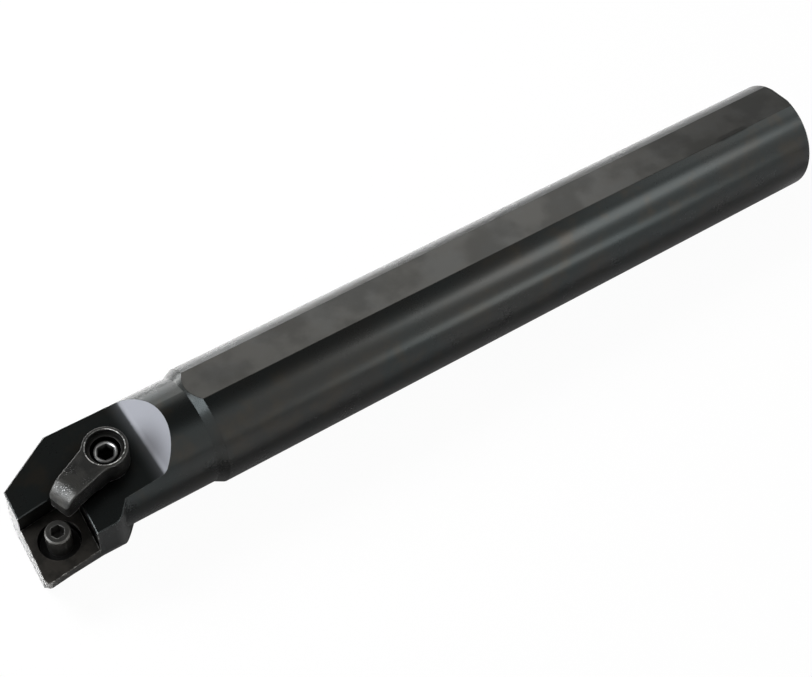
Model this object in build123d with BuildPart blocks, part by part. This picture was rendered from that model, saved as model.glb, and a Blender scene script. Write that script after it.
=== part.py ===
from build123d import *
from math import cos, radians, sin, tan
import os

# Boring bar with a multi-lock seat for an 80 degree rhombic insert, right hand.
# The bar lies along X with its head at the -X end; its two flats face +Z and -Z.
# The origin is on the bar's axis, at the shoulder between the shank and the neck.

# Shank and neck
shank_d = 25.0
shank_len = 157.3
flat_to_flat = 23.5
neck_d = 22.9
shoulder_len = 2.05
rear_chamfer = 0.5

# Head. Its top is one plane that rises towards the far side (+Y) and the rear (+X);
# points on the head are (u along the bar, v across it) in that plane.
head_roll = 14.0
head_pitch = 4.2
head_origin = (-42.0, 0.0, 4.75)
lead_angle = 5.0
front_at = (0.60, -6.20)
corner_cut_at = (7.0, 5.6)
corner_cut_angle = 28.8
block_side_v = -14.45
block_ramp_u = 17.2
block_ramp_angle = 48.7
block_ramp_r = 3.0
block_far_v = -4.0
underside_r = 6.0
scoop_u = 29.25
scoop_angle = 41.5
scoop_r = 2.5

# Insert seat and shim
insert_t = 4.76
shim_t = 3.18
wall_back_at = (12.30, -11.00)
wall_long_at = (4.20, -3.62)
shim_side_at = (5.50, -16.20)
shim_gap = 0.10
shim_back_gap = 0.30
shim_corner_r = 0.95
shim_relief = 0.8
shim_bore_d = 8.3
shim_bore_depth = 2.6
seat_inset = 1.10
seat_corner_cut = 2.2
corner_relief_r = 0.9

# Lock pin
pin_at = (6.10, -9.70)
pin_top = -0.75
pin_head_d = 5.0
pin_flange_t = 0.7
pin_thread_d = 6.0
pin_thread_len = 6.4
pin_socket = 2.5
pin_socket_depth = 2.6

# Clamp and its double-ended screw
clamp_at = (21.10, -1.98)
clamp_angle = 19.3
clamp_t = 5.8
clamp_head_d = 9.0
clamp_root_w = 7.2
clamp_nose_w = 4.8
clamp_edge_r = 0.35
clamp_reach = 13.50
clamp_nose_r = 3.8
clamp_nose_angle = 60.0
clamp_corner_r = 0.8
clamp_root_r = 2.5
clamp_relief = 0.6
clamp_relief_from = 5.4
clamp_relief_to = 11.2
clamp_bore_d = 7.6
clamp_bore_depth = 1.35
screw_d = 6.0
screw_top = 3.9
screw_len = 17.6
screw_chamfer = 0.4
screw_socket = 3.0
screw_socket_depth = 3.4
screw_hole_depth = 15.0

# Broken edges
edge_chamfer = 0.2

# Fits: play on the radius between a thread and its hole, a flange and its bore
thread_play = 0.05
flange_play = 0.25

# Derived values
shank_r = shank_d / 2
neck_r = neck_d / 2
flat_z = flat_to_flat / 2
seat_depth = insert_t + shim_t
slope = tan(radians(lead_angle))
roll = radians(head_roll)
pitch = radians(head_pitch)
along = Vector(cos(pitch), -sin(pitch) * sin(roll), sin(pitch) * cos(roll))
across = Vector(0, cos(roll), sin(roll))
head_top = Plane(origin=head_origin, x_dir=along, z_dir=along.cross(across))
head_side = Plane(origin=head_origin, x_dir=along, z_dir=-across)
head_up = Axis(head_origin, head_top.z_dir)


def front_u(v):
    return front_at[0] + (v - front_at[1]) * slope


def back_wall_u(v):
    return wall_back_at[0] + (v - wall_back_at[1]) * slope


def long_wall_v(u):
    return wall_long_at[1] + (u - wall_long_at[0]) * slope


def shim_side_v(u):
    return shim_side_at[1] + (u - shim_side_at[0]) * slope


def side_y(z):
    # the near side of the head, cut by a plane across the bar
    return (block_side_v + head_origin[2] * sin(roll) - z * sin(roll)) / cos(roll)


def corner(u_line, v_line):
    # where a line u(v) crosses a line v(u)
    v = 0.0
    for step in range(40):
        u = u_line(v)
        v = v_line(u)
    return u, v


def on_head(point, height):
    # the head's plane moved to a height above its top, with its origin on the point
    return Plane(origin=head_top.from_local_coords((point[0], point[1], height)),
                 x_dir=along, z_dir=head_top.z_dir)


# Bar: the turned and milled body, one piece of steel
# ---------------------------------------------------
seat_corner = corner(back_wall_u, long_wall_v)
low_front = corner(front_u, lambda u: shim_side_v(u) + seat_inset)
cut_front_v = low_front[1] + seat_corner_cut
cut_side_u = low_front[0] + seat_corner_cut
side_start_u = shim_side_at[0] + (block_side_v - seat_inset - shim_side_at[1]) / slope
ramp_rise = tan(radians(block_ramp_angle))
ramp_len = 4.5

with BuildPart() as seat_block:
    with BuildSketch(head_top):
        Polygon((front_u(block_far_v), block_far_v), (front_u(cut_front_v), cut_front_v),
                (cut_side_u, shim_side_v(cut_side_u) + seat_inset), (side_start_u, block_side_v),
                (side_start_u, block_far_v), align=None)
    extrude(amount=-24)
    with BuildSketch(Plane.XY.offset(-neck_r)):
        Rectangle(150, 60)
    extrude(amount=-20, mode=Mode.SUBTRACT)
    low_edges = faces().sort_by(Axis.Z)[0].edges()
    fillet(low_edges.sort_by(Axis.Y)[0], underside_r)

with BuildPart() as nose_block:
    with BuildSketch(Plane.YZ.offset(head_origin[0])):
        Polygon((side_y(8), 8), (side_y(-neck_r), -neck_r), (0, -neck_r), (0, 8), align=None)
        fillet(vertices().sort_by(Axis.X)[:2].sort_by(Axis.Y)[0], underside_r)
    extrude(amount=30)
    with BuildSketch(head_top):
        Polygon((9, block_far_v), (9, block_side_v), (block_ramp_u, block_side_v),
                (block_ramp_u + ramp_len, block_side_v + ramp_len * ramp_rise),
                (block_ramp_u + ramp_len, block_far_v), align=None)
        fillet(vertices().sort_by_distance((block_ramp_u, block_side_v, 0))[0], block_ramp_r)
    extrude(amount=24, both=True, mode=Mode.INTERSECT)

with BuildPart() as bar:
    with BuildSketch(Plane.XZ):
        Polygon((-44, 0), (-44, neck_r), (-shoulder_len, neck_r), (0, shank_r),
                (shank_len - rear_chamfer, shank_r), (shank_len, shank_r - rear_chamfer),
                (shank_len, 0), align=None)
    revolve(axis=Axis.X)
    for side in (1, -1):
        with BuildSketch(Plane.XY.offset(side * flat_z)):
            Rectangle(2 * shank_len + 100, 30)
        extrude(amount=side * 5, mode=Mode.SUBTRACT)
    add(seat_block.part)
    add(nose_block.part)

    # top plane of the head, running out of the neck in a scoop
    with BuildSketch(head_side):
        Polygon((-8, 0), (scoop_u, 0), (scoop_u + 12 / tan(radians(scoop_angle)), 12), (-8, 12),
                align=None)
        fillet(vertices().sort_by_distance((scoop_u, 0, 0))[0], scoop_r)
    extrude(amount=20, both=True, mode=Mode.SUBTRACT)

    # front face and the slanting cut on the far corner
    cut_rise = tan(radians(corner_cut_angle))
    with BuildSketch(head_top):
        Polygon((front_u(-22), -22), (front_u(16), 16), (-12, 16), (-12, -22), align=None)
        Polygon((-5, corner_cut_at[1] - (corner_cut_at[0] + 5) * cut_rise),
                (22, corner_cut_at[1] + (22 - corner_cut_at[0]) * cut_rise),
                (22, 24), (-5, 24), align=None)
    extrude(amount=26, both=True, mode=Mode.SUBTRACT)

    # insert seat: two walls, a floor and a relief in the corner
    with BuildSketch(head_top):
        Polygon((-4, long_wall_v(-4)), seat_corner, (back_wall_u(-19), -19), (-4, -19), align=None)
        with Locations(seat_corner):
            Circle(corner_relief_r)
    extrude(amount=-seat_depth, mode=Mode.SUBTRACT)

    # threaded holes of the lock pin and of the clamp screw
    with BuildSketch(on_head(pin_at, -seat_depth)):
        Circle(pin_thread_d / 2)
    extrude(amount=-14, mode=Mode.SUBTRACT)
    with BuildSketch(on_head(clamp_at, 0)):
        Circle(screw_d / 2)
    extrude(amount=-screw_hole_depth, mode=Mode.SUBTRACT)

    # the sharp rim of the top plane is broken
    top_face = faces().filter_by(head_up).sort_by(head_up)[-1]
    chamfer(top_face.edges().filter_by(
        lambda e: e.geom_type != GeomType.ELLIPSE and e.center().X < scoop_u + head_origin[0] - 1.5),
        edge_chamfer)
bar.part.label = "bar"

# Shim: the rhombic plate on the floor of the seat
# ------------------------------------------------
def shim_back_u(v):
    return back_wall_u(v) - shim_back_gap


def shim_far_v(u):
    return long_wall_v(u) - shim_gap


with BuildPart() as shim:
    with BuildSketch(head_top.offset(-seat_depth)):
        Polygon(corner(front_u, shim_side_v), corner(shim_back_u, shim_side_v),
                corner(shim_back_u, shim_far_v), corner(front_u, shim_far_v), align=None)
        fillet(vertices().sort_by(lambda p: p.X + p.Y)[0], shim_corner_r)
    extrude(amount=shim_t)
    low_rim = faces().sort_by(head_up)[0].edges()
    nose = low_rim.filter_by(GeomType.CIRCLE)[0]
    chamfer(low_rim.sort_by_distance(nose.center())[:3], shim_relief)
    with BuildSketch(on_head(pin_at, -insert_t)):
        Circle(shim_bore_d / 2)
    extrude(amount=-shim_bore_depth, mode=Mode.SUBTRACT)
    with BuildSketch(on_head(pin_at, -seat_depth)):
        Circle(pin_thread_d / 2 + flange_play)
    extrude(amount=shim_t, mode=Mode.SUBTRACT)
shim.part.label = "shim"

# Lock pin: head, flange that holds the shim down, threaded stem
# --------------------------------------------------------------
flange_low = -insert_t - shim_bore_depth
pin_low = -seat_depth - pin_thread_len

with BuildPart() as lock_pin:
    with BuildSketch(on_head(pin_at, pin_low)):
        Circle(pin_thread_d / 2 - thread_play)
    extrude(amount=flange_low - pin_low)
    with BuildSketch(on_head(pin_at, flange_low)):
        Circle(shim_bore_d / 2 - flange_play)
    extrude(amount=pin_flange_t)
    with BuildSketch(on_head(pin_at, flange_low)):
        Circle(pin_head_d / 2)
    extrude(amount=pin_top - flange_low)
    tip = faces().sort_by(head_up)[-1]
    chamfer(tip.edges(), 0.3)
    with BuildSketch(on_head(pin_at, pin_top)):
        RegularPolygon(pin_socket / 2, 6, major_radius=False)
    extrude(amount=-pin_socket_depth, mode=Mode.SUBTRACT)
lock_pin.part.label = "lock_pin"

# Clamp: forged finger with a counterbored head; x runs along its arm from the bore
# ---------------------------------------------------------------------------------
turn = radians(180 + clamp_angle)
arm = along * cos(turn) + across * sin(turn)
clamp_seat = Plane(origin=on_head(clamp_at, 0).origin, x_dir=arm, z_dir=head_top.z_dir)
clamp_side = Plane(origin=clamp_seat.origin, x_dir=arm, z_dir=arm.cross(head_top.z_dir))
head_r = clamp_head_d / 2
nose_bend = clamp_reach - clamp_nose_r + clamp_nose_r * tan(radians(clamp_nose_angle / 2))
nose_edge = clamp_t - (clamp_reach - nose_bend) * tan(radians(clamp_nose_angle))

with BuildPart() as clamp:
    with BuildSketch(clamp_seat):
        Circle(head_r)
        Polygon((0, clamp_root_w / 2), (clamp_reach, clamp_nose_w / 2),
                (clamp_reach, -clamp_nose_w / 2), (0, -clamp_root_w / 2), align=None)
        fillet(vertices().group_by(Axis.X)[-1], clamp_corner_r)
        fillet(vertices().group_by(Axis.X)[0], clamp_root_r)
    extrude(amount=clamp_t)
    with BuildSketch(clamp_side):
        Polygon((-head_r - 1, 0), (clamp_relief_from, 0),
                (clamp_relief_from + 0.8, clamp_relief), (clamp_relief_to - 0.8, clamp_relief),
                (clamp_relief_to, 0), (clamp_reach, 0), (clamp_reach, nose_edge),
                (nose_bend, clamp_t), (-head_r - 1, clamp_t), align=None)
        fillet(vertices().sort_by_distance((nose_bend, clamp_t, 0))[0], clamp_nose_r)
    extrude(amount=10, both=True, mode=Mode.INTERSECT)
    fillet(faces().sort_by(head_up)[-1].edges(), clamp_edge_r)
    with BuildSketch(clamp_seat.offset(clamp_t)):
        Circle(clamp_bore_d / 2)
    extrude(amount=-clamp_bore_depth, mode=Mode.SUBTRACT)
    with BuildSketch(clamp_seat):
        Circle(screw_d / 2)
    extrude(amount=clamp_t, mode=Mode.SUBTRACT)
clamp.part.label = "clamp"

# Clamp screw: headless, one thread in the bar and the opposite hand in the clamp
# -------------------------------------------------------------------------------
with BuildPart() as clamp_screw:
    with BuildSketch(on_head(clamp_at, screw_top)):
        Circle(screw_d / 2 - thread_play)
    extrude(amount=-screw_len)
    chamfer(edges(), screw_chamfer)
    with BuildSketch(on_head(clamp_at, screw_top)):
        RegularPolygon(screw_socket / 2, 6, major_radius=False)
    extrude(amount=-screw_socket_depth, mode=Mode.SUBTRACT)
clamp_screw.part.label = "clamp_screw"

os.makedirs("parts", exist_ok=True)
export_step(bar.part, "parts/bar.step")
export_step(shim.part, "parts/shim.step")
export_step(lock_pin.part, "parts/lock_pin.step")
export_step(clamp.part, "parts/clamp.step")
export_step(clamp_screw.part, "parts/clamp_screw.step")
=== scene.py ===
import math
import bpy
import numpy as np
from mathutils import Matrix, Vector


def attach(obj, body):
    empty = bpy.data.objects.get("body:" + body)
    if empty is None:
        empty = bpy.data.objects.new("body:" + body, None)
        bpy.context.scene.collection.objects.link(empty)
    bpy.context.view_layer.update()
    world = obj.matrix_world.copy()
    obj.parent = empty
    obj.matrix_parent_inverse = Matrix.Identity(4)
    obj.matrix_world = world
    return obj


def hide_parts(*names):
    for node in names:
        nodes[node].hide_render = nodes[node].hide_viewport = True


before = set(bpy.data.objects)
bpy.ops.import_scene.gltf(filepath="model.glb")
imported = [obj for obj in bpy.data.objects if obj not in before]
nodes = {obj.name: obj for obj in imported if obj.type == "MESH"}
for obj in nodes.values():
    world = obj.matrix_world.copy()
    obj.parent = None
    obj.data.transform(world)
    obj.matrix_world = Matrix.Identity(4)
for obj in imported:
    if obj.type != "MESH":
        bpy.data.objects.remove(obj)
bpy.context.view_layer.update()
print("boring bar: frame loaded,", len(nodes), "nodes")

mm = 0.001
bpy.context.scene.view_settings.view_transform = "Standard"

# the head's own axes: along the bar, across it and square to its top, from one corner point
headLay = dict(
    origin=(-42.0, 0.0, 4.75),      # mm
    roll=14.0,                      # degrees, top falls towards the near side
    pitch=4.2,                      # degrees, top falls towards the front
    pinAt=(6.10, -9.70),            # lock pin, along and across, mm
    screwAt=(21.10, -1.98),         # clamp screw, along and across, mm
)


def headAxes(lay):
    roll = math.radians(lay["roll"])
    pitch = math.radians(lay["pitch"])
    along = Vector((math.cos(pitch), -math.sin(pitch) * math.sin(roll),
                    math.sin(pitch) * math.cos(roll)))
    across = Vector((0.0, math.cos(roll), math.sin(roll)))
    return Vector(lay["origin"]), along, across, along.cross(across)


headOrigin, headAlong, headAcross, headUp = headAxes(headLay)


def onHead(point):
    # a point of the head's top plane, in mm
    return headOrigin + headAlong * point[0] + headAcross * point[1]


# ---- camera

camLook = dict(
    place=(-0.097996, -0.215259, 0.261130),         # metres
    turn=(44.47846, 0.55067, -35.26097),            # degrees
    lens=77.268,                                    # mm
    sensor=36.0,                                    # mm
    near=0.01,                                      # metres
)


def makeCamera(look):
    data = bpy.data.cameras.new("camera")
    data.sensor_fit = "HORIZONTAL"
    data.sensor_width = look["sensor"]
    data.lens = look["lens"]
    data.clip_start = look["near"]
    camera = bpy.data.objects.new("camera", data)
    camera.location = look["place"]
    camera.rotation_euler = [math.radians(angle) for angle in look["turn"]]
    bpy.context.scene.collection.objects.link(camera)
    bpy.context.scene.camera = camera


makeCamera(camLook)


class Wire:
    # one output of a material's nodes; sums written on it become Math nodes
    def __init__(self, finish, socket):
        self.finish = finish
        self.socket = socket

    def math(self, operation, first, second=None):
        values = {0: first} if second is None else {0: first, 1: second}
        return self.finish.node("Math", values, operation=operation)

    def __add__(self, other):
        return self.math("ADD", self, other)

    def __sub__(self, other):
        return self.math("SUBTRACT", self, other)

    def __rsub__(self, other):
        return self.math("SUBTRACT", other, self)

    def __mul__(self, other):
        return self.math("MULTIPLY", self, other)

    def __truediv__(self, other):
        return self.math("DIVIDE", self, other)

    def __pow__(self, other):
        return self.math("POWER", self, other)

    def __abs__(self):
        return self.math("ABSOLUTE", self)

    __radd__ = __add__
    __rmul__ = __mul__

    def atMost(self, other):
        return self.math("MINIMUM", self, other)

    def atLeast(self, other):
        return self.math("MAXIMUM", self, other)


class Finish:
    # a material's or the world's nodes and short ways to add to them
    def __init__(self, owner):
        if isinstance(owner, str):
            owner = bpy.data.materials.new(owner)
            owner.use_nodes = True
        self.owner = owner
        self.tree = owner.node_tree
        self.tree.nodes.clear()

    def node(self, kind, values=None, output=0, **settings):
        made = self.tree.nodes.new("ShaderNode" + kind)
        for key, value in settings.items():
            setattr(made, key, value)
        for key, value in (values or {}).items():
            if isinstance(value, Wire):
                self.tree.links.new(value.socket, made.inputs[key])
            elif made.inputs[key].type == "RGBA":
                made.inputs[key].default_value = (*value, 1.0)
            else:
                made.inputs[key].default_value = value
        return Wire(self, made.outputs[output]) if made.outputs else None

    def place(self):
        # the object's own coordinates, in mm
        raw = self.node("TexCoord", output=3)
        return self.node("VectorMath", {0: raw, "Scale": 1 / mm}, operation="SCALE")

    def along(self, place, direction, start=(0, 0, 0)):
        # how far a point lies along a direction from a start, in mm
        gone = self.node("VectorMath", {0: place, 1: tuple(start)}, operation="SUBTRACT")
        return self.node("VectorMath", {0: gone, 1: tuple(direction)}, output=1,
                         operation="DOT_PRODUCT")

    def awayFrom(self, place, start, direction):
        # how far a point lies from the line through start along a direction, in mm
        gone = self.node("VectorMath", {0: place, 1: tuple(start)}, operation="SUBTRACT")
        gone = self.node("VectorMath", {0: gone, 1: tuple(direction)},
                         operation="CROSS_PRODUCT")
        return self.node("VectorMath", {0: gone}, output=1, operation="LENGTH")

    def noise(self, place, size, detail=3.0, rough=0.5, stretch=(1, 1, 1)):
        # soft noise whose grains are about size mm across, longer where stretch is more
        scale = tuple(1 / (size * s) for s in stretch)
        moved = self.node("VectorMath", {0: place, 1: scale}, operation="MULTIPLY")
        return self.node("TexNoise", {"Vector": moved, "Scale": 1.0, "Detail": detail,
                                      "Roughness": rough})

    def step(self, value, low, high):
        # 0 below low, 1 above high, smooth between
        return self.node("MapRange", {0: value, 1: low, 2: high, 3: 0.0, 4: 1.0},
                         interpolation_type="SMOOTHSTEP")

    def facing(self, direction, low, high):
        # 1 on faces whose normal points along the direction
        normal = self.node("NewGeometry", output=1)
        turn = self.node("VectorMath", {0: normal, 1: tuple(direction)}, output=1,
                         operation="DOT_PRODUCT")
        return self.step(turn, low, high)

    def mix(self, part, first, second):
        return self.node("Mix", {0: part, 6: first, 7: second}, output=2, data_type="RGBA")

    def rounded(self, radius):
        # normal as if the edges had a small radius
        return self.node("Bevel", {"Radius": radius * mm}, samples=6)

    def outer(self, reach, low, high):
        # 1 on outer edges, 0 on flat faces and in inner corners
        inside = self.node("AmbientOcclusion", {"Distance": reach * mm}, output=1,
                           inside=True, only_local=True, samples=16)
        return self.step(1.0 - inside, low, high)

    def openness(self, reach):
        # 1 in the open, towards 0 deep in a recess
        return self.node("AmbientOcclusion", {"Distance": reach * mm}, output=1, samples=12)

    def bump(self, height, depth, normal):
        return self.node("Bump", {"Height": height, "Distance": depth * mm, "Strength": 1.0,
                                  "Normal": normal})

    def finish(self, colour, rough, normal, metal, oil):
        # oil: how much of a thin film of oil lies over the steel
        shader = self.node("BsdfPrincipled", {"Base Color": colour, "Roughness": rough,
                                              "Metallic": metal, "Normal": normal,
                                              "Coat Weight": oil, "Coat IOR": 1.33,
                                              "Coat Roughness": 0.22, "Coat Normal": normal})
        self.node("OutputMaterial", {0: shader})
        return self.owner


# ---- bar: black oxide over turned, ground and milled steel

scoopLean = math.radians(41.5)      # how far the scoop's face leans forward from the top plane
scoopFace = headUp * math.cos(scoopLean) - headAlong * math.sin(scoopLean)
frontTurn = (0.80, 0.95)            # how squarely a face looks forward to count as the front

barLook = dict(
    tone=(0.0184, 0.0190, 0.0176),      # oxide on the turned shank
    warm=(0.0240, 0.0216, 0.0172),      # brownish patches
    cool=(0.0145, 0.0186, 0.0188),      # greenish patches
    flat=(0.0165, 0.0160, 0.0135),      # ground flats
    stainAndShade=(0.004, 0.004, 0.003),        # blots, smudge and the painted shade of the rear end's chamfer
    scoop=(0.190, 0.194, 0.212),        # painted reflection of the left softbox, pale and lavender, where the cutter ran out
    worn=(0.40, 0.40, 0.39),            # bare steel at the edges
    recessShade=(0.002, 0.002, 0.002),       # painted shade deep in the seat and the bores
    rough=0.29,
    cloudRough=0.10, fineRough=0.08, flatRough=0.10, scoopRough=0.32,
    # sizes of the grains of noise, mm
    cloud=9.0, patch=22.0, blot=11.0, ragged=3.0, nick=1.3, fine=0.8, turned=0.22, milled=0.30,
    lineStretch=30, millStretch=40,     # how much longer than wide the tool's lines are
    # how much of each noise shows: below the first value none, above the second all
    patchFrom=(0.42, 0.62), warmFrom=(0.48, 0.68), flatFrom=(0.42, 0.60),
    blotFrom=(0.40, 0.60), nickFrom=(0.34, 0.56),
    flatRise=(11.68, 11.74),            # height where a flat begins, mm
    flatEnd=(-3.0, -2.5),               # where the flats end in front, mm
    rear=(85.0, 150.0),                 # where the flats grow darker, mm
    rim=(156.6, 156.9),                 # painted shade on the rear end's chamfer, mm
    smudge=(138.0, -3.9, 7.5, 0.9),     # dark mark beside the flat: middle and half sizes, mm
    smudgeRise=(11.4, 11.6),            # mm
    smudgeFrom=(0.1, 1.3), smudgeRagged=1.2,
    rearDark=0.30, blotDark=0.38, flatDark=0.60, smudgeDark=0.85,
    scoopTurn=(0.77, 0.97),             # how squarely a face looks along the scoop's way
    scoopRise=(24.0, 26.0),             # where the scoop begins, along the head, mm
    topTurn=(0.92, 0.985),              # the same for the top plane beside the scoop
    topRise=(25.6, 30.0),               # where the painted highlight on that plane begins and where it ends, mm
    topFall=(30.7, 31.0),
    # how strong the painted highlight on that plane is
    topPale=0.42,
    scoopEnd=(6.0, 7.0),                # how far before the shoulder the painted reflection ends, mm
    edgeReach=0.35, edgeFrom=(0.16, 0.38),
    edgeBack=(13.0, 17.0),              # along the head, where its edges grow less worn, mm
    edgeLess=0.60,
    deep=5.0, deepFrom=(0.35, 0.95),    # reach of the painted shade in recesses, mm, and how open a place has to be to escape it
    soft=0.18,                          # radius that the edges show, mm
    lineDepth=0.0010, fineDepth=0.0011,             # mm
    groundFlat=0.90,                    # how much smoother the front face is
    scoopMatt=0.55, edgeMatt=0.40,      # how much less metallic they are
    stainDry=0.70,                      # how much of the oil is gone from stains and from the painted shade
)


def barColour(f, look, at, spots):
    x, y, z = (f.along(at, axis) for axis in ((1, 0, 0), (0, 1, 0), (0, 0, 1)))
    patch = f.step(f.noise(at, look["patch"], 3.0, 0.5), *look["patchFrom"])
    colour = f.mix(patch, look["cool"], look["tone"])
    colour = f.mix(f.step(spots["cloud"], *look["warmFrom"]), colour, look["warm"])
    ground = f.mix(f.step(spots["cloud"], *look["flatFrom"]), look["flat"], look["tone"])
    colour = f.mix(spots["flat"], colour, ground)
    midX, midY, halfX, halfY = look["smudge"]
    side = ((x - midX) / halfX) ** 2.0 + ((y - midY) / halfY) ** 2.0
    side = side + look["smudgeRagged"] * (f.noise(at, look["ragged"], 4.0, 0.6) - 0.5)
    smudge = (1.0 - f.step(side, *look["smudgeFrom"])) * f.step(z, *look["smudgeRise"])
    blot = f.step(f.noise(at, look["blot"], 4.0, 0.6), *look["blotFrom"])
    # real blots and smudge, flats darker towards the rear, and painted shade on the rear end's
    # chamfer
    stainAndShade = f.step(x, *look["rear"]) * look["rearDark"] + look["blotDark"] * blot
    stainAndShade = spots["flat"] * stainAndShade.atMost(look["flatDark"])
    stainAndShade = stainAndShade.atLeast(smudge * look["smudgeDark"]).atLeast(f.step(x, *look["rim"]))
    spots["stainAndShade"] = stainAndShade
    return f.mix(stainAndShade, colour, look["stainAndShade"])


# where the painted reflection lies: the scoop's face, and a strip of the top plane beside it
def barScoop(f, look, x, u):
    scoop = f.facing(scoopFace, *look["scoopTurn"]) * f.step(u, *look["scoopRise"])
    top = f.facing(headUp, *look["topTurn"]) * f.step(u, *look["topRise"])
    top = top * (1.0 - f.step(u, *look["topFall"]))
    return scoop.atLeast(top * look["topPale"]) * f.step(0.0 - x, *look["scoopEnd"])


def barFinish(look):
    f = Finish("blackOxideBar")
    at = f.place()
    x, z = f.along(at, (1, 0, 0)), f.along(at, (0, 0, 1))
    u = f.along(at, headAlong, headOrigin)
    flat = f.step(abs(z), *look["flatRise"]) * f.step(x, *look["flatEnd"])
    cloud = f.noise(at, look["cloud"], 4.0, 0.6)
    fine = f.noise(at, look["fine"], 5.0, 0.7)
    spots = dict(cloud=cloud, flat=flat)
    colour = barColour(f, look, at, spots)
    scoop = barScoop(f, look, x, u)
    # painted reflection of the left softbox on the scoop, pale and lavender
    colour = f.mix(scoop, colour, look["scoop"])
    nick = f.step(f.noise(at, look["nick"], 4.0, 0.7), *look["nickFrom"])
    edge = f.outer(look["edgeReach"], *look["edgeFrom"]) * nick
    edge = edge * (1.0 - look["edgeLess"] * f.step(u, *look["edgeBack"]))
    colour = f.mix(edge, colour, look["worn"])
    # painted shade: recesses darken to near black by how closed in they are
    clear = f.step(f.openness(look["deep"]), *look["deepFrom"])
    colour = f.mix(clear, look["recessShade"], colour)
    lineLong, millLong = look["lineStretch"], look["millStretch"]
    turned = f.noise(at, look["turned"], 2.0, 0.6, (1, lineLong, lineLong))
    milled = f.noise(at, look["milled"], 2.0, 0.6, (millLong, 1, 1))
    lines = turned + (milled - turned) * flat
    rough = look["rough"] + look["cloudRough"] * (cloud - 0.5)
    rough = rough + look["fineRough"] * (fine - 0.5)
    rough = rough + look["flatRough"] * flat + look["scoopRough"] * scoop
    bumpy = 1.0 - look["groundFlat"] * f.facing(-headAlong, *frontTurn)
    normal = f.bump(lines * bumpy, look["lineDepth"], f.rounded(look["soft"]))
    normal = f.bump(fine * bumpy, look["fineDepth"], normal)
    metal = 1.0 - (look["scoopMatt"] * scoop).atLeast(look["edgeMatt"] * edge)
    oil = clear * (1.0 - scoop) * (1.0 - look["stainDry"] * spots["stainAndShade"])
    return f.finish(colour, rough, normal, metal, oil)


def dress(node, material):
    for slot in nodes[node].material_slots:
        slot.material = material


dress("bar", barFinish(barLook))

# ---- small steel pieces: shim, pin, clamp and screw
# axis: whose axis clean and shadedBeyond are measured from, in mm; clean: worn only beyond it;
# shadedBeyond: painted shade, black beyond it; deep: reach of the painted shade in recesses,
# mm; capShade: how black the painted shade on the top end is; ground: how smooth the front is

shimLook = dict(
    name="blackShim", tone=(0.052, 0.047, 0.041), shade=(0.026, 0.024, 0.021),
    worn=(0.40, 0.39, 0.37), wear=0.9, clean=(4.2, 4.6), shadedBeyond=(9.0, 9.1), axis="pinAt",
    rough=0.38, grain=0.6, depth=0.004, metal=0.95, oil=1.0, deep=4.0, ground=0.9)
pinLook = dict(
    name="blackPin", tone=(0.084, 0.082, 0.076), shade=(0.062, 0.060, 0.056),
    worn=(0.24, 0.24, 0.23), wear=0.6, clean=(0.5, 0.6), shadedBeyond=(2.52, 2.62), axis="pinAt",
    rough=0.46, grain=0.4, depth=0.006, metal=0.8, oil=0.9, deep=0.9, capShade=0.60)
clampLook = dict(
    name="forgedClamp", tone=(0.052, 0.051, 0.048), shade=(0.030, 0.030, 0.029),
    worn=(0.85, 0.85, 0.83), wear=0.85, speck=0.6, clean=(3.45, 3.70), axis="screwAt",
    rough=0.42, grain=0.38, depth=0.055, metal=0.97, oil=0.3, deep=4.0)
screwLook = dict(
    name="blackScrew", tone=(0.290, 0.290, 0.288), shade=(0.150, 0.150, 0.149),
    axis="screwAt", rough=0.30, grain=0.4, depth=0.004, metal=1.0, oil=0.0, deep=3.6)

# what the small pieces share; sizes of noise and lengths are in mm
steelWearAndShade = dict(
    cloud=3.5, shadeFrom=(0.40, 0.62),              # darker clouds
    edgeReach=0.32, edgeFrom=(0.10, 0.30),
    nick=0.55, nickFrom=(0.40, 0.56),               # small gaps in the worn edges
    gap=2.6, gapFrom=(0.44, 0.54), gapLeft=0.25,    # wide gaps, and what stays in them
    speck=0.22, speckFrom=(0.58, 0.68), speckCloud=(0.42, 0.58),
    speckNear=(6.0, 9.0),                           # where the specks begin
    speckFar=(11.0, 12.5), speckMost=1.2,           # where they thin out again
    edgeMatt=0.55,                                  # how much less metallic worn edges are
    # painted shade: how open a place must be to escape it, how black it gets beyond the given
    # distance, the top end's painted shade and its colour, and the colour deep in recesses
    openFrom=(0.25, 0.85), darkMost=0.8,
    capTurn=(0.80, 0.98), capShadeTone=(0.002, 0.002, 0.002),
    recessShade=(0.001, 0.001, 0.001),
    grainRough=0.16, cloudRough=0.10,
    soft=0.15,                                      # radius that the edges show
)


def wornSteel(f, look, at, out, cloud):
    wear = steelWearAndShade
    gap = f.step(f.noise(at, wear["gap"], 2.0, 0.5), *wear["gapFrom"])
    gap = (wear["gapLeft"] + gap).atMost(1.0)
    nick = f.step(f.noise(at, wear["nick"], 4.0, 0.8), *wear["nickFrom"])
    edge = f.outer(wear["edgeReach"], *wear["edgeFrom"]) * nick * gap
    edge = edge * f.step(out, *look["clean"]) * look["wear"]
    if "speck" in look:
        speck = f.step(f.noise(at, wear["speck"], 4.0, 0.6), *wear["speckFrom"])
        speck = speck * f.step(cloud, *wear["speckCloud"]) * f.step(out, *wear["speckNear"])
        speck = speck * (wear["speckMost"] - f.step(out, *wear["speckFar"])).atMost(1.0)
        edge = edge.atLeast(speck * look["speck"])
    return edge


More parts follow.
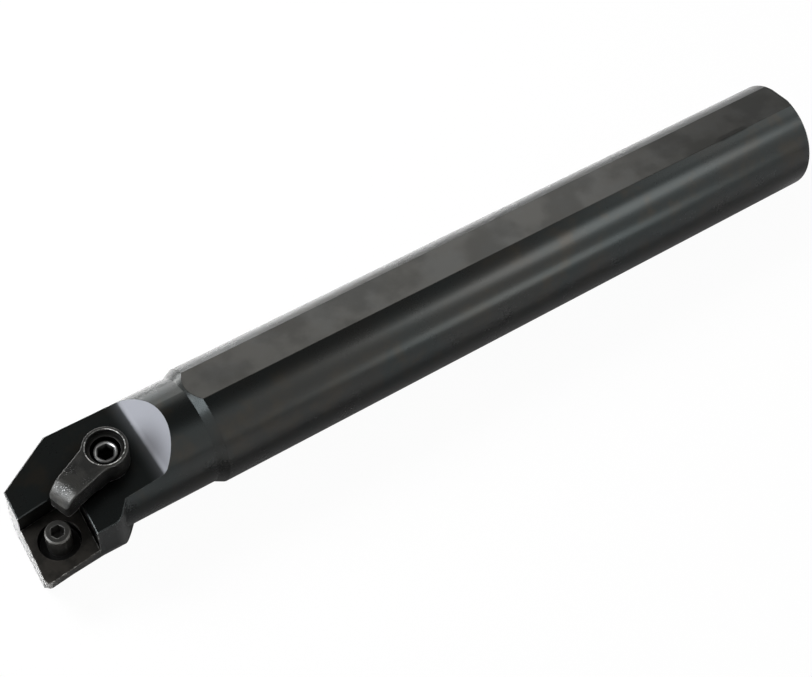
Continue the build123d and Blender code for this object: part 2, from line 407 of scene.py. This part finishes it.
def steelFinish(look):
    # wear holds the shared values of worn edges and of painted shade
    wear = steelWearAndShade
    f = Finish(look["name"])
    at = f.place()
    grain = f.noise(at, look["grain"], 5.0, 0.65)
    cloud = f.noise(at, wear["cloud"], 3.0, 0.5)
    out = f.awayFrom(at, onHead(headLay[look["axis"]]), headUp)
    metal = look["metal"]
    colour = f.mix(f.step(cloud, *wear["shadeFrom"]), look["tone"], look["shade"])
    # painted shade darkening the faces that look up
    if "capShade" in look:
        capShade = f.facing(headUp, *wear["capTurn"]) * look["capShade"]
        colour = f.mix(capShade, colour, wear["capShadeTone"])
    if "worn" in look:
        edge = wornSteel(f, look, at, out, cloud)
        colour = f.mix(edge, colour, look["worn"])
        metal = metal * (1.0 - wear["edgeMatt"] * edge)
    # painted shade: recesses darken, and beyond a given distance from the axis the piece goes
    # nearly black
    clear = f.step(f.openness(look["deep"]), *wear["openFrom"])
    if "shadedBeyond" in look:
        clear = clear * (1.0 - wear["darkMost"] * f.step(out, *look["shadedBeyond"]))
    colour = f.mix(clear, wear["recessShade"], colour)
    rough = look["rough"] + wear["grainRough"] * (grain - 0.5)
    rough = rough + wear["cloudRough"] * (cloud - 0.5)
    if "ground" in look:
        grain = grain * (1.0 - look["ground"] * f.facing(-headAlong, *frontTurn))
    normal = f.bump(grain, look["depth"], f.rounded(wear["soft"]))
    return f.finish(colour, rough, normal, metal, clear * look["oil"])


dress("shim", steelFinish(shimLook))
dress("lock_pin", steelFinish(pinLook))
dress("clamp", steelFinish(clampLook))
screwSteel = steelFinish(screwLook)
print("boring bar: finishes made")

# ---- clamp screw: headless, with an opposite thread at each end and a six-sided socket

screwShape = dict(
    radius=2.95, pitch=1.0, depth=0.55,     # mm
    top=3.9, length=17.6, chamfer=0.4,
    socket=3.0, socketDepth=3.4,            # across flats, and down to its floor
    drill=0.5, drillWide=0.9,               # point under the floor; its share of the socket
    wall=0.30, lip=0.06, lipRadius=1.95,    # where the socket's wall ends and its rim begins
    crest=2.16, shoulder=0.95,              # rounded end: its highest circle and its fall
    bulge=1.8, bulgeRows=8,                 # how full the rounded end is
    below=0.05,                             # thread begins this far under the rounded end
    root=0.12, flank=0.76,                  # shares of the thread's height
    plainTop=0.8, plainLow=0.05, fade=0.9,  # plain ends and how far the thread takes to rise
    waist=(-1.6, -0.2), waistRadius=2.35,   # heights above the head's top plane
    point=0.01, inset=0.999,                # end circles, and the socket's floor edge
    columns=120, rows=8,                    # rows to a turn of thread
)


def turnedPiece(name, axisAt, heights, columns, radius):
    # rows of points round an axis: radius(angle) gives how far out each point of each row
    # lies; the first and last rows are closed to one point each
    angles = np.linspace(0.0, 2 * math.pi, columns, endpoint=False)
    grid = radius(angles[None, :])
    tall = np.broadcast_to(heights[:, None], grid.shape)
    base = np.array(axisAt)
    points = (base + tall[..., None] * np.array(headUp)
              + (grid * np.cos(angles))[..., None] * np.array(headAlong)
              + (grid * np.sin(angles))[..., None] * np.array(headAcross))
    first = base + heights[0] * np.array(headUp)
    last = base + heights[-1] * np.array(headUp)
    count, wide = grid.shape
    index = np.arange(count * wide).reshape(count, wide)
    right = np.roll(index, -1, axis=1)
    quads = np.stack([index[:-1], right[:-1], right[1:], index[1:]], axis=-1).reshape(-1, 4)
    end = count * wide
    fans = np.stack([right[0], index[0], np.full(wide, end)], axis=-1)
    caps = np.stack([index[-1], right[-1], np.full(wide, end + 1)], axis=-1)
    verts = np.concatenate([points.reshape(-1, 3), [first], [last]]) * mm
    mesh = bpy.data.meshes.new(name)
    mesh.from_pydata(verts.tolist(), [], quads.tolist() + fans.tolist() + caps.tolist())
    mesh.polygons.foreach_set("use_smooth", [True] * len(mesh.polygons))
    mesh.update()
    piece = bpy.data.objects.new(name, mesh)
    bpy.context.scene.collection.objects.link(piece)
    return piece


def threadRadius(shape, z, angle):
    # the two threads run opposite ways and meet at the waist
    top, low = shape["top"], shape["top"] - shape["length"]
    waistLow, waistHigh = shape["waist"]
    lead = np.where(z > waistHigh, -1.0, 1.0) * angle / (2 * math.pi)
    wave = np.abs(2 * ((z / shape["pitch"] + lead) % 1.0) - 1.0)
    crest = np.clip((wave - shape["root"]) / shape["flank"], 0, 1)
    ends = np.clip((top - shape["plainTop"] - z) / shape["fade"], 0, 1)
    ends = ends * np.clip((z - low - shape["plainLow"]) / shape["fade"], 0, 1)
    out = shape["radius"] - shape["depth"] * (1 - crest) * ends
    between = (z < waistHigh) & (z > waistLow)
    return np.where(between, np.minimum(out, shape["waistRadius"]), out)


def makeScrew(shape):
    top, low = shape["top"], shape["top"] - shape["length"]
    turns = int(shape["length"] * shape["rows"] / shape["pitch"])
    bodyTop = top - shape["shoulder"] - shape["below"]
    body = np.linspace(bodyTop, low + shape["chamfer"], turns)
    apothem = shape["socket"] / 2
    floor = top - shape["socketDepth"]
    # heights from the socket's floor up its wall, over the top, down the thread and under
    bow = np.linspace(0.0, 1.0, shape["bulgeRows"])
    crown = top - shape["shoulder"] * bow ** shape["bulge"]
    socketRows = np.array([floor - shape["drill"], floor, floor,
                           top - shape["wall"], top - shape["lip"]])
    heights = np.concatenate([socketRows, crown, body, [low, low]])

    def radius(angle):
        sixth = math.pi / 3
        hexagon = apothem / np.cos((angle[0] % sixth) - sixth / 2)
        out = threadRadius(shape, heights[:, None] + 0 * angle, angle)
        rounded = len(socketRows)
        out[0] = shape["point"]
        out[1] = shape["drillWide"] * apothem
        out[2] = hexagon * shape["inset"]
        out[3] = hexagon
        out[4] = np.maximum(hexagon, shape["lipRadius"])
        out[rounded:rounded + len(bow)] = (
            shape["crest"] + (shape["radius"] - shape["crest"]) * bow[:, None])
        out[-2] = shape["radius"] - shape["chamfer"]
        out[-1] = shape["point"]
        return out

    piece = turnedPiece("threadedScrew", onHead(headLay["screwAt"]), heights,
                        shape["columns"], radius)
    piece.data.materials.append(screwSteel)
    return piece


threaded = makeScrew(screwShape)
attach(threaded, "screw")
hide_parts("clamp_screw")
print("boring bar: screw made")

# ---- floor, world and lamps

floorLook = dict(level=-0.01176, size=6.0, tone=(0.93, 0.93, 0.93), shine=0.965)


def makeFloor(look):
    # the floor is white to the camera and a matt paper to everything else
    mesh = bpy.data.meshes.new("floor")
    s = look["size"] / 2
    z = look["level"]
    mesh.from_pydata([(-s, -s, z), (s, -s, z), (s, s, z), (-s, s, z)], [], [(0, 1, 2, 3)])
    floor = bpy.data.objects.new("floor", mesh)
    bpy.context.scene.collection.objects.link(floor)
    f = Finish("floorPaper")
    seen = f.node("LightPath", output=0) * look["shine"]
    matt = f.node("BsdfDiffuse", {0: look["tone"]})
    glow = f.node("Emission", {0: (1.0, 1.0, 1.0), 1: 1.0})
    f.node("OutputMaterial", {0: f.node("MixShader", {0: seen, 1: matt, 2: glow})})
    mesh.materials.append(f.owner)


makeFloor(floorLook)

# dim: heights of the sky where it darkens for what is seen; back: the same towards the rear,
# for all but the camera, and by how much
worldLook = dict(low=(1.0, 1.0, 0.99), high=(0.19, 0.19, 0.185), dim=(0.66, 0.93),
                 back=(0.4, 0.9), behind=0.30, fill=0.28)


def makeWorld(look):
    world = bpy.data.worlds.new("studio")
    bpy.context.scene.world = world
    world.use_nodes = True
    f = Finish(world)
    camera = f.node("LightPath", output=0)
    seen = camera.atLeast(f.node("LightPath", output=3)).atLeast(f.node("LightPath", output=6))
    way = f.node("TexCoord", output=0)
    back = f.step(f.node("SeparateXYZ", {0: way}, output=1), *look["back"])
    dim = f.step(f.node("SeparateXYZ", {0: way}, output=2), *look["dim"])
    dim = dim.atLeast(back * look["behind"] * (1.0 - camera))
    view = f.node("Background", {0: f.mix(dim, look["low"], look["high"]), 1: 1.0})
    fill = f.node("Background", {0: (1.0, 1.0, 1.0), 1: look["fill"]})
    f.node("OutputWorld", {0: f.node("MixShader", {0: seen, 1: fill, 2: view})})


makeWorld(worldLook)

# softboxes that show in the steel, and one key from behind that lights what is matt
lampAim = (0.03, 0.0, 0.0)
lamps = dict(
    back=dict(place=(0.30, 0.42, 0.46), size=(0.36, 0.30), shine=1.9, tone=(1.0, 0.99, 0.96)),
    backHigh=dict(place=(0.19, 0.68, 0.22), size=(0.15, 0.36), shine=2.0, tone=(1.0, 1.0, 1.0)),
    strip=dict(place=(-0.12, 0.75, 0.25), size=(0.12, 0.20), shine=18.0, tone=(1.0, 1.0, 1.0)),
    front=dict(place=(0.50, -0.45, 0.52), size=(0.26, 0.20), shine=4.2, tone=(1.0, 1.0, 0.99)),
    right=dict(place=(0.56, -0.04, 0.48), size=(0.26, 0.26), shine=1.3, tone=(1.0, 1.0, 0.98)),
    low=dict(place=(0.45, -0.72, 0.07), size=(0.20, 0.16), shine=3.6, tone=(0.94, 1.0, 1.0)),
    left=dict(place=(-0.52, 0.07, 0.34), size=(0.44, 0.52), shine=8.6, tone=(0.93, 0.96, 1.0)),
    key=dict(place=(-0.19, 0.36, 0.36), size=(0.25, 0.25), shine=22.0, tone=(1.0, 1.0, 1.0),
             matt=True, glossy=False),
)


def makeLamp(name, look):
    data = bpy.data.lights.new(name, "AREA")
    data.shape = "RECTANGLE"
    data.size, data.size_y = look["size"]
    # power that gives the face a brightness of shine: brightness x area x pi
    data.energy = look["shine"] * math.prod(look["size"]) * math.pi
    data.color = look["tone"]
    lamp = bpy.data.objects.new(name, data)
    lamp.location = look["place"]
    aim = Vector(lampAim) - Vector(look["place"])
    lamp.rotation_euler = aim.to_track_quat("-Z", "Y").to_euler()
    lamp.visible_camera = False
    lamp.visible_diffuse = look.get("matt", False)
    lamp.visible_glossy = look.get("glossy", True)
    bpy.context.scene.collection.objects.link(lamp)


for name, look in lamps.items():
    makeLamp(name + "Lamp", look)
print("boring bar: light made")
